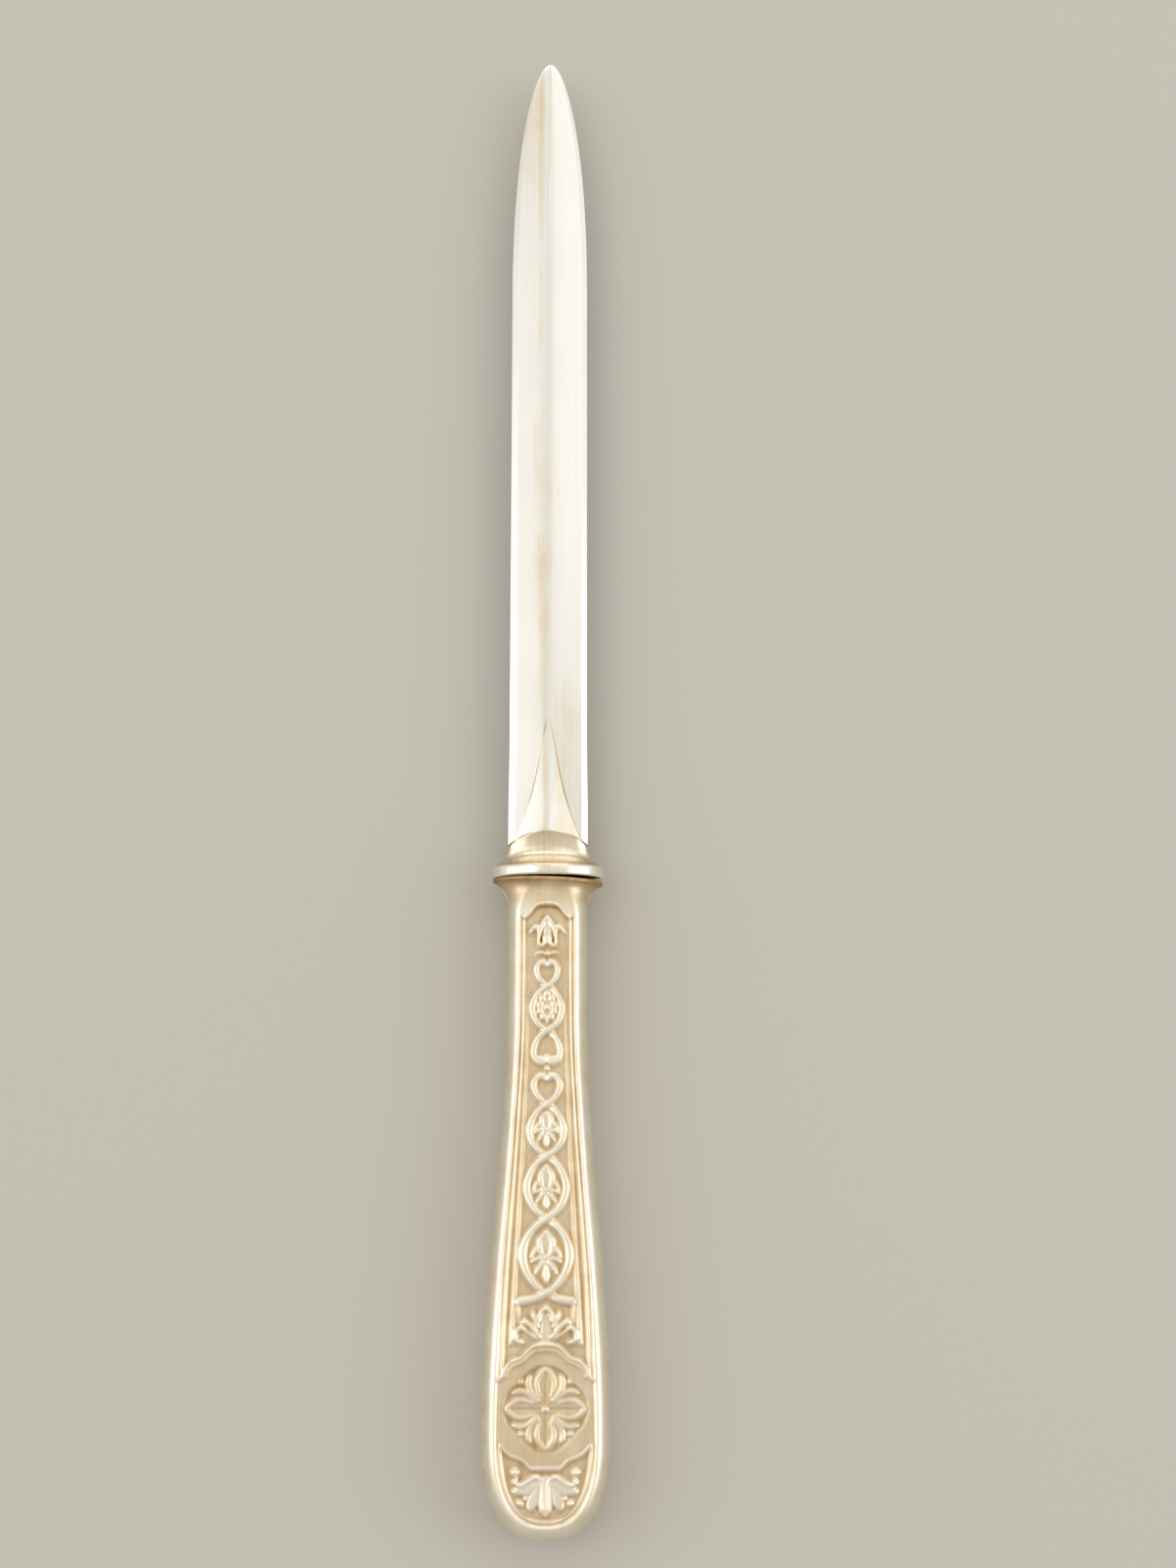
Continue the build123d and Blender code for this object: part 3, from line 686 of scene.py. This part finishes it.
# %% Facets and wedge
# Half the thickness of an edge, and what the ridge and the wedge add to it.
EDGE, RIDGE_RISE, WEDGE_RISE = 0.25, 0.55, 0.95
FACET_SLOPE, BEVEL_SLOPE = 0.085, 0.32
facets = EDGE + RIDGE_RISE * taper - FACET_SLOPE * (np.sqrt(blade_x**2 + taper**2) - taper)
bevel = EDGE + BEVEL_SLOPE * (blade_half - np.abs(blade_x))
waves = 0.008 * taper * np.sin(0.41 * blade_y + 1.3) * np.cos(0.7 * blade_x)
ground = np.minimum(facets, bevel) + waves
wedge = EDGE + RIDGE_RISE + WEDGE_RISE * growth**2.4
wedge = wedge - (0.1 + 0.12 * growth**3) * (np.sqrt(blade_x**2 + 1.44) - 1.2)
within_plunge = ease((plunge - np.abs(blade_x)) / PLUNGE_STEP + 0.5)
blade_z = ground + np.maximum(wedge - ground, 0) * within_plunge
print("blade is", round(2 * float(blade_z[100].max()), 2), "mm thick in its middle")

# %% Neck
CREASE = -10.35
# Both sides stay at least this far from the middle plane, so that the skin never folds.
THINNEST = 0.02
neck_pins = [
    (-9.0, 2.1), (-10.3, 1.76), (-11.2, 1.52), (-12.1, 1.38), (-12.8, 1.46), (-13.35, 1.7), (-13.9, 2.2),
    (-14.4, 3.0), (-14.8, 4.0), (-15.0, 4.76),
]
neck_y, neck_height = curve(neck_pins, 0.02).T
neck_oval = np.interp(-blade_row, -neck_y, neck_height)[:, None] * np.sqrt(1 - (blade_x / blade_half) ** 2)
neck_z = np.maximum(neck_oval, THINNEST)
before_crease = ease((blade_row - CREASE) / 0.25)[:, None]
blade_z = neck_z + (blade_z - neck_z) * before_crease
print("neck is", round(2 * float(neck_height.min()), 2), "mm thick at its slimmest")

# %% [markdown]
# Behind the neck come the flange with its rounded rim and the tang, a bar that tapers into the
# hollow of the handle. They are rings on the same columns, so all rings join into one skin.

# %% Flange and tang
rim = np.array([
    (-15.05, 7.4, 4.88), (-15.18, 7.44, 4.96), (-15.4, 7.45, 5.0), (-16.1, 7.45, 5.0), (-16.28, 7.43, 4.98),
    (-16.42, 7.36, 4.91), (-16.5, 7.22, 4.77),
])
column_share = blade_x[-1] / blade_half[-1]
rim_z = np.maximum(rim[:, 2:] * np.sqrt(1 - column_share**2), THINNEST)

TANG_END = -62.5
tang_y = np.append(MOUTH, np.linspace(MOUTH - 0.1, TANG_END, 24))
tang_half = np.interp(-tang_y, [-MOUTH, -TANG_END], [2.5, 1.6])[:, None]
tang_height = np.interp(-tang_y, [-MOUTH, -TANG_END], [1.7, 1.1])[:, None]
tang_z = np.maximum(tang_height * (1 - np.abs(column_share) ** 12) ** (1 / 12), THINNEST)

rear_y = np.append(rim[:, 0], tang_y)[:, None] + 0 * column_share
ring_x = np.vstack([blade_x, rim[:, 1:2] * column_share, tang_half * column_share])
ring_y = np.vstack([blade_y, rear_y])
ring_z = np.vstack([blade_z, rim_z, tang_z])
upper_side = np.stack([ring_x, ring_y, ring_z], axis=-1)
underside = upper_side[:, ::-1] * TURN_OVER
blade = ring_mesh("forged_blade", np.hstack([upper_side, underside]) + AXIS, crisp=60)
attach(blade, "root")
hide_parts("blade")

# %% [markdown]
# Old polish and dirt stay in the plunge lines and in the crease. A faint straw streak along the middle is
# painted reflection: the ridge's dim mirror image is painted into the colour. In the corner under the rim
# lies a band of painted shade. Faint stains lie beside the wedge on the right and down the left of the tip.
# All of them are kept as an attribute, as on the handle. Clean steel gets a value below zero, so that the
# patches of the material show only on the film, the stains and the painted marks.

# %% Film, painted shade and painted reflection on the blade
plunge_film = 0.65 * np.exp(-(((np.abs(blade_x) - plunge) / 0.1) ** 2)) * ease(6 * growth)
above_wedge = np.clip(blade_row - 4, 0, 36)[:, None]
streak_half = 0.5 + 0.033 * above_wedge * (1 - ease((blade_row - 42) / 16))[:, None]
# Painted reflection: a faint straw streak along the middle stands for the ridge's dim mirror image.
middle_painted_reflection = 0.3 * np.exp(-(((blade_x + 0.45 + 0.02 * above_wedge) / streak_half) ** 2))
middle_painted_reflection = middle_painted_reflection * (0.6 + 0.4 * ease((50 - blade_row) / 22))[:, None]
root_stain = ease((blade_x - 0.2) / 0.8) * ease((14 - blade_row) / 9)[:, None]
tip_stain = ease((-0.3 - blade_x) / 0.8) * ease((blade_row - 70) / 18)[:, None]
clean_steel = 0.24 * root_stain + 0.18 * tip_stain - 0.2
crease_film = (0.15 + 0.02 * blade_x**2) * np.exp(-(((blade_row - CREASE - 0.1) / 0.2) ** 2))[:, None]
# Painted shade: a dark band in the corner under the rim.
corner_painted_shade = 0.4 * np.exp(-(((blade_row + 14.8) / 0.22) ** 2))[:, None]
blade_film_and_shade = (plunge_film + middle_painted_reflection + clean_steel) * before_crease + 0.2 * (1 - before_crease)
blade_film_and_shade = blade_film_and_shade + crease_film + corner_painted_shade
blade_film_and_shade = np.vstack([blade_film_and_shade, 0 * rear_y + 0.1])
both_sides = np.hstack([blade_film_and_shade, blade_film_and_shade[:, ::-1]])
attribute = blade.data.attributes.new("tarnish_and_shade", "FLOAT", "POINT")
attribute.data.foreach_set("value", both_sides.astype(np.float32).ravel())
print("darkest film on the blade:", round(float(blade_film_and_shade.max()), 2))

# %% [markdown]
# ## Metals
# Colours are written as they look on a screen and changed to the linear values that the renderer
# adds up. Silver and polished steel are metals, so their colour is the tint of what they mirror;
# how rough they are says how much the mirror image spreads. Nodes could be placed by hand in the
# shader editor; one small function that adds a node with its links keeps each recipe readable.

# %% Colours
def colour(code):
    """Linear colour of a screen colour code: each channel c becomes ((c + 0.055) / 1.055) to the 2.4,
    or c / 12.92 where it is very dark."""
    channels = [int(code[k : k + 2], 16) / 255 for k in (1, 3, 5)]
    return [c / 12.92 if c <= 0.04045 else ((c + 0.055) / 1.055) ** 2.4 for c in channels] + [1.0]


print("a mid grey in linear light:", round(colour("#808080")[0], 3))

# %% Nodes and materials
def add_node(tree, kind, inputs, stops=(), **settings):
    """Add one node, set its own options and, on a ramp, its colour stops from 0 to 1, and give each
    named input a value or a link."""
    node = tree.nodes.new(kind)
    for name, value in settings.items():
        setattr(node, name, value)
    for place, _ in stops[1:-1]:
        node.color_ramp.elements.new(place)
    for number, (_, code) in enumerate(stops):
        node.color_ramp.elements[number].color = colour(code)
    for name, value in inputs.items():
        if isinstance(value, bpy.types.NodeSocket):
            tree.links.new(value, node.inputs[name])
        else:
            node.inputs[name].default_value = value
    return node


def new_material(name, metallic, roughness, code):
    """A material with the standard surface shader and these plain settings."""
    material = bpy.data.materials.new(name)
    material.use_nodes = True
    shader = material.node_tree.nodes["Principled BSDF"]
    shader.inputs["Metallic"].default_value = metallic
    shader.inputs["Roughness"].default_value = roughness
    shader.inputs["Base Color"].default_value = colour(code)
    return material, material.node_tree, shader


print("helpers: add_node, new_material")

# %% [markdown]
# Both metals wear a film of tarnish or dried polish, broken up by rubbing and handling; the same attribute
# also carries painted shade by the handle's lip and under the blade's rim, and a painted reflection along the
# blade. A painted image could hold it, but the attribute already knows the hollows, and noise has detail from
# any distance. So one recipe serves both: film plus noise gives a tone, and the tone picks the colour.

# %% Film tone
def film_tone(tree, shader, noises, shares, limits, tones):
    """The tone is the attribute of film and painted shade plus a share of each noise, spread from 0 at the
    lower limit to 1 at the upper one, and it picks the colour from the tones. A noise is given by the size of
    its waves in millimetres across and along the opener, and by its detail. Returns the noises and the tone."""
    spot = add_node(tree, "ShaderNodeTexCoord", {}).outputs["Object"]
    noise = {}
    for name, (across, along, detail) in noises.items():
        waves_to_metre = [1 / (size * MM) for size in (across, along, across)]
        scaled = add_node(tree, "ShaderNodeMapping", {"Vector": spot, "Scale": waves_to_metre})
        inputs = {"Vector": scaled.outputs["Vector"], "Scale": 1.0, "Detail": detail}
        noise[name] = add_node(tree, "ShaderNodeTexNoise", inputs).outputs["Fac"]
    tone = add_node(tree, "ShaderNodeAttribute", {}, attribute_name="tarnish_and_shade").outputs["Fac"]
    for name, share in shares.items():
        terms = {0: noise[name], 1: share, 2: tone}
        tone = add_node(tree, "ShaderNodeMath", terms, operation="MULTIPLY_ADD").outputs[0]
    spread = {"Value": tone, "From Min": limits[0], "From Max": limits[1]}
    tone = add_node(tree, "ShaderNodeMapRange", spread).outputs["Result"]
    tint = add_node(tree, "ShaderNodeValToRGB", {"Fac": tone}, stops=tones)
    tree.links.new(tint.outputs["Color"], shader.inputs["Base Color"])
    return noise, tone


print("helper: film_tone")

# %% [markdown]
# The handle is sheet silver, struck in a die and polished by hand for many years. It is bright where
# it is handled and warm brown in the hollows. A cloudy noise of about three millimetres and a finer
# one that is drawn out along the handle, like traces of rubbing, break up the film. The hollows are
# also rougher, so they gleam less than the worn ridges.

# %% Silver
# The size of a wave in millimetres across and along the handle, and its detail.
silver_noises = {
    "cloud": (2.7778, 2.7778, 6.0),
    "rubbing": (0.5556, 11.111, 3.0),
    "dents": (1.4286, 1.4286, 2.0),
}
silver_shares = {"cloud": 0.46, "rubbing": 0.26}
# From clean pale silver through two straw tones to the brown of the deep corners.
silver_tones = [(0.0, "#F8F2E2"), (0.4, "#E0CFB1"), (0.7, "#C8AE86"), (1.0, "#947550")]
silver, tree, shader = new_material("worn_silver", 1.0, 0.3, "#D9D1C0")
noise, tone = film_tone(tree, shader, silver_noises, silver_shares, (0.3, 1.3), silver_tones)
# Toned silver spreads the light more than rubbed silver.
dull = add_node(tree, "ShaderNodeMapRange", {"Value": tone, "To Min": 0.32, "To Max": 0.5})
tree.links.new(dull.outputs["Result"], shader.inputs["Roughness"])
# Dents of about a millimetre and a half make the plain sides shimmer.
dents = {"Height": noise["dents"], "Strength": 0.3, "Distance": 0.04 * MM}
bump = add_node(tree, "ShaderNodeBump", dents)
tree.links.new(bump.outputs["Normal"], shader.inputs["Normal"])
for piece in (handle_front, handle_back):
    piece.data.materials.append(silver)
print("silver has", len(tree.nodes), "nodes")

# %% [markdown]
# The blade is forged steel, ground and then polished lengthwise. A noise stretched along the blade stands for
# the fine polishing lines; the real lines are much finer than a pixel, so they are drawn coarser. They change
# the gloss and, a little, the warm tone of the old polish. A broader noise leaves faint patches, and a brown
# film lies in the creases; the same ramp also colours the painted shade under the rim and the painted
# reflection along the middle.

# %% Steel
# Sizes in millimetres across and along the blade, and detail.
steel_noises = {"polishing": (0.3846, 16.667, 3.0), "patches": (3.125, 8.3333, 6.0)}
steel_shares = {"polishing": 0.4, "patches": 0.6}
# Nearly white where it is clean, straw where polish has dried, brown in the creases.
steel_tones = [(0.0, "#F8F8F5"), (0.3, "#EEE2C8"), (1.0, "#8A6F48")]
steel, tree, shader = new_material("polished_steel", 1.0, 0.2, "#EFE4CC")
noise, _ = film_tone(tree, shader, steel_noises, steel_shares, (0.43, 1.41), steel_tones)
# The polishing lines blur the mirror image by turns.
blur = {"Value": noise["polishing"], "To Min": 0.12, "To Max": 0.3}
gloss = add_node(tree, "ShaderNodeMapRange", blur)
tree.links.new(gloss.outputs["Result"], shader.inputs["Roughness"])
blade.data.materials.append(steel)
print("steel has", len(tree.nodes), "nodes")

# %% [markdown]
# Hard solder was run along the joint of the halves, and hot resin cement was poured in to hold the
# tang. The solder shows as a fine line, a little greyer than the silver, and the cement is a matt
# brown in the dark of the open joint. So little is seen that plain settings are enough for both.

# %% Solder and cement
solder, _, _ = new_material("hard_solder", 1.0, 0.35, "#C9C0AC")
cement, _, _ = new_material("resin_cement", 0.0, 0.9, "#3A2E26")
for name, material, slot in (("seam_solder", solder, "solder"), ("cement_core", cement, "cement")):
    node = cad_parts[name]
    node.data.materials.clear()
    node.data.materials.append(material)
print("materials:", sorted(material.name for material in (silver, steel, solder, cement)))

# %% [markdown]
# ## Floor
# The opener lies on a plain, matt, pale floor, one square a few metres wide. A curved backdrop could
# hide its far edge as well, but the camera looks down and sees only floor, so the square is enough.
# It lies a twentieth of a millimetre below the part, so that the two never share a plane.

# %% Floor
FLOOR_HALF = 4
floor_corners = [(x * FLOOR_HALF, y * FLOOR_HALF, 0) for x, y in ((-1, -1), (1, -1), (1, 1), (-1, 1))]
floor_mesh = bpy.data.meshes.new("floor")
floor_mesh.from_pydata(floor_corners, [], [(0, 1, 2, 3)])
floor = bpy.data.objects.new("floor", floor_mesh)
bpy.context.scene.collection.objects.link(floor)
floor.location.z = -0.05 * MM
floor_paint, _, _ = new_material("pale_floor", 0.0, 0.8, "#C4C2BC")
floor.data.materials.append(floor_paint)
print("floor:", len(floor_mesh.polygons), "face")

# %% [markdown]
# ## Room and soft boxes
# A metal shows what stands round it, and one bare lamp would leave most of it dark, so the light
# comes from broad boxes in a bright room. Two hang beyond the tip with a gap between them: the ridge
# of the blade mirrors the gap as a grey streak, and its two facets mirror the boxes. A box on each
# side draws a bright line along the shoulder there, and a low one beyond the tip does the same for
# the edges of the relief that face it. The room is dimmer behind the camera, so that slopes that
# face the handle's end look darker than slopes that face the tip.

# %% Room
world = bpy.data.worlds.new("studio")
bpy.context.scene.world = world
world.use_nodes = True
room = world.node_tree.nodes["Background"]
room.inputs["Color"].default_value = colour("#F2ECE2")
direction = add_node(world.node_tree, "ShaderNodeTexCoord", {})
parts = add_node(world.node_tree, "ShaderNodeSeparateXYZ", {"Vector": direction.outputs["Generated"]})
limits = {"From Min": -0.5, "From Max": 0.0, "To Min": 0.68, "To Max": 0.9}
dim = add_node(world.node_tree, "ShaderNodeMapRange", {"Value": parts.outputs["Y"], **limits})
world.node_tree.links.new(dim.outputs["Result"], room.inputs["Strength"])
print("room strength:", limits["To Min"], "to", limits["To Max"])

# %% Soft boxes
def soft_box(name, spot, size, watts, tilt=(0, 0)):
    """A rectangular lamp at a spot, in metres, that faces down, or is tilted towards the opener by so
    many degrees about the x and the y axis."""
    lamp = bpy.data.lights.new(name, "AREA")
    lamp.shape = "RECTANGLE"
    lamp.size, lamp.size_y = size
    lamp.energy = watts
    holder = bpy.data.objects.new(name, lamp)
    bpy.context.scene.collection.objects.link(holder)
    holder.location = spot
    holder.rotation_euler = (math.radians(tilt[0]), math.radians(tilt[1]), 0)


soft_box("box_far_left", (-0.48, 0.33, 0.9), (0.7, 0.42), 0.2)
soft_box("box_far_right", (0.36, 0.5, 0.9), (0.6, 0.56), 0.3)
soft_box("box_left", (-0.7, 0.0, 0.75), (1.0, 0.6), 1.7, tilt=(0, -41))
soft_box("box_right", (0.72, -0.05, 0.6), (0.6, 0.6), 1.45, tilt=(0, 50))
soft_box("box_low", (0.0, 0.8, 0.55), (0.9, 0.4), 0.85, tilt=(-55, 0))

# %% [markdown]
# ## Camera
# The camera looks down from above the handle, with the opener's tip pointing away. A lens of 54 mm
# from about 30 cm makes the far end look a little smaller, as it does to someone at a desk.

# %% Camera
camera_data = bpy.data.cameras.new("camera")
camera_data.lens = 54
camera_data.sensor_width = 36
camera_data.clip_start = 0.01
camera = bpy.data.objects.new("camera", camera_data)
bpy.context.scene.collection.objects.link(camera)
camera.location = (0.0053, -0.0634, 0.3125)
camera.rotation_euler = (math.radians(11), 0, 0)
bpy.context.scene.camera = camera
bpy.context.scene.view_settings.view_transform = "Standard"
print("camera height:", camera.location.z, "m")
